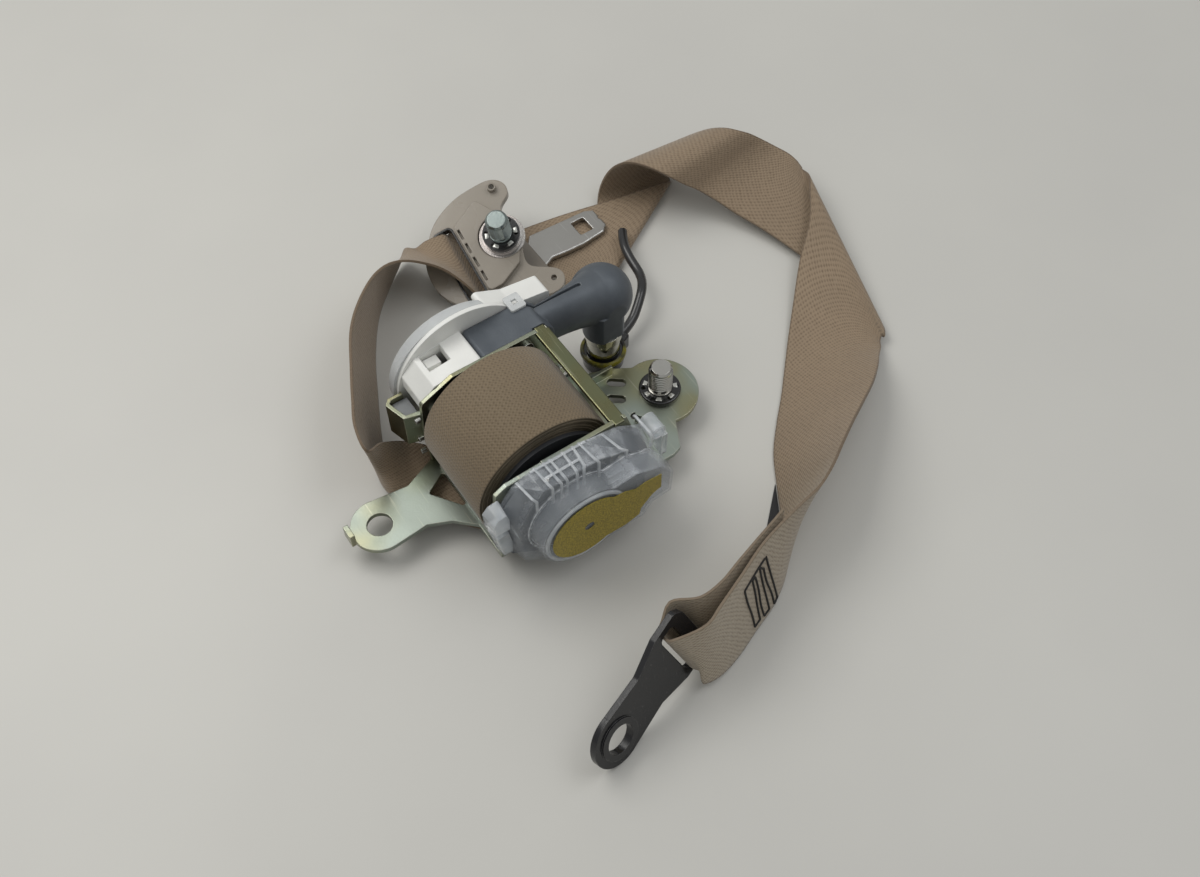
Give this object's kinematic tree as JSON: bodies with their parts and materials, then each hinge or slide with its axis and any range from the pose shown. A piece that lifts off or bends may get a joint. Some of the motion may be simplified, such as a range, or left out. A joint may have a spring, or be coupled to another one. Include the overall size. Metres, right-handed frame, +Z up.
{
  "type": "seat belt retractor assembly",
  "caption": "Front seat belt with retractor, pretensioner, pillar guide ring, buckle tongue, webbing and end anchor plate.",
  "frame": {"origin": "axis of the retractor's anchor bolt, at the flat underside of its head, which is also the table level", "axes": "+X along the spool towards the clear cover, +Y towards the bolt lobe, +Z up along the free stud"},
  "size_m": [0.2944, 0.3158, 0.0766],
  "materials": {
    "zinc_steel": "pale gold zinc plating",
    "bright_steel": "bright steel",
    "bolt_steel": "nickel plated bolt",
    "chrome_steel": "polished can",
    "brushed_steel": "brushed blade",
    "dark_cast": "dark cast",
    "die_cast": "matt grey die casting",
    "dark_plastic": "dark grey moulding",
    "grey_plastic": "grey moulding",
    "black_plastic": "black moulding",
    "white_plastic": "white moulding",
    "milky_plastic": "milky translucent moulding",
    "clear_plastic": "clear moulding",
    "label": "blank yellow film",
    "webbing": "woven polyester webbing",
    "black_fabric": "black woven label",
    "black_sleeve": "black sleeve",
    "ring_plastic": "warm grey moulding",
    "black_paint": "satin black coat"
  },
  "bodies": {
    "root": {"clear_cover": "clear_plastic", "cover_clip": "milky_plastic", "cover_label": "label", "drive_balls": "bright_steel", "far_plate": "zinc_steel", "frame_rivets": "bright_steel", "gas_generator": "chrome_steel", "guide_bar": "bright_steel", "lead": "black_sleeve", "lever_pin": "dark_plastic", "mounting_frame": "zinc_steel", "near_plate": "zinc_steel", "pawl_pin": "bright_steel", "return_spring": "bright_steel", "ring_liner": "black_plastic", "ring_plate": "ring_plastic", "sensor_ball": "bright_steel", "sensor_base": "dark_plastic", "sensor_housing": "dark_plastic", "side_block": "grey_plastic", "side_bracket": "zinc_steel", "spring_cover": "white_plastic", "spring_dome": "milky_plastic", "squib_connector": "black_plastic", "tensioner_housing": "die_cast", "tie_bar": "zinc_steel", "webbing_climb": "webbing", "webbing_cross": "webbing", "webbing_curl": "webbing", "webbing_exit": "webbing", "webbing_fold": "webbing", "webbing_front": "webbing", "webbing_guide": "webbing", "webbing_long": "webbing", "webbing_loop": "webbing", "webbing_pass": "webbing", "webbing_tail": "webbing", "webbing_throat": "webbing", "webbing_turn": "webbing", "webbing_twist": "webbing", "webbing_under": "webbing", "woven_label": "black_fabric"},
    "spool": {"spool": "dark_cast", "torsion_bar": "bright_steel", "webbing_roll": "webbing", "lock_gear": "bright_steel", "steering_disc": "dark_plastic", "drive_wheel": "dark_cast", "spring_arbor": "white_plastic"},
    "anchor_bolt": {"anchor_bolt": "bolt_steel", "bolt_retainer": "black_plastic"},
    "ring_bolt": {"ring_bolt": "bolt_steel", "ring_bush": "bright_steel", "ring_retainer": "black_plastic"},
    "tongue": {"tongue_blade": "brushed_steel", "tongue_grip": "ring_plastic"},
    "end_plate": {"end_plate": "black_paint"},
    "pawl": {"locking_pawl": "bright_steel"},
    "sensor_lever": {"sensor_lever": "dark_plastic"}
  },
  "joints": [
    {"name": "spool_spin", "type": "hinge", "parent": "root", "child": "spool", "pos_m": [0, -0.0815, 0.041], "axis": [1, 0, 0], "continuous": true},
    {"name": "anchor_bolt_spin", "type": "hinge", "parent": "root", "child": "anchor_bolt", "pos_m": [0, 0, 0.01], "axis": [0, 0, 1], "continuous": true},
    {"name": "ring_bolt_spin", "type": "hinge", "parent": "root", "child": "ring_bolt", "pos_m": [-0.1205, -0.0137, 0.021], "axis": [0.2429, -0.2529, 0.9365], "continuous": true},
    {"name": "tongue_slide", "type": "slide", "parent": "root", "child": "tongue", "axis": [0.05, 0.9987, 0], "range_m": [0, 0.008]},
    {"name": "end_plate_swing", "type": "hinge", "parent": "root", "child": "end_plate", "pos_m": [0.1189, -0.0775, 0.0247], "axis": [0.2524, 0.3469, -0.9033], "range_deg": [-6, 6]},
    {"name": "pawl_swing", "type": "hinge", "parent": "root", "child": "pawl", "pos_m": [0.037, -0.052, 0.048], "axis": [1, 0, 0], "range_deg": [0, 10]},
    {"name": "sensor_tilt", "type": "hinge", "parent": "root", "child": "sensor_lever", "pos_m": [0.04, -0.043, 0.0262], "axis": [-1, 0, 0], "range_deg": [0, 10]}
  ]
}
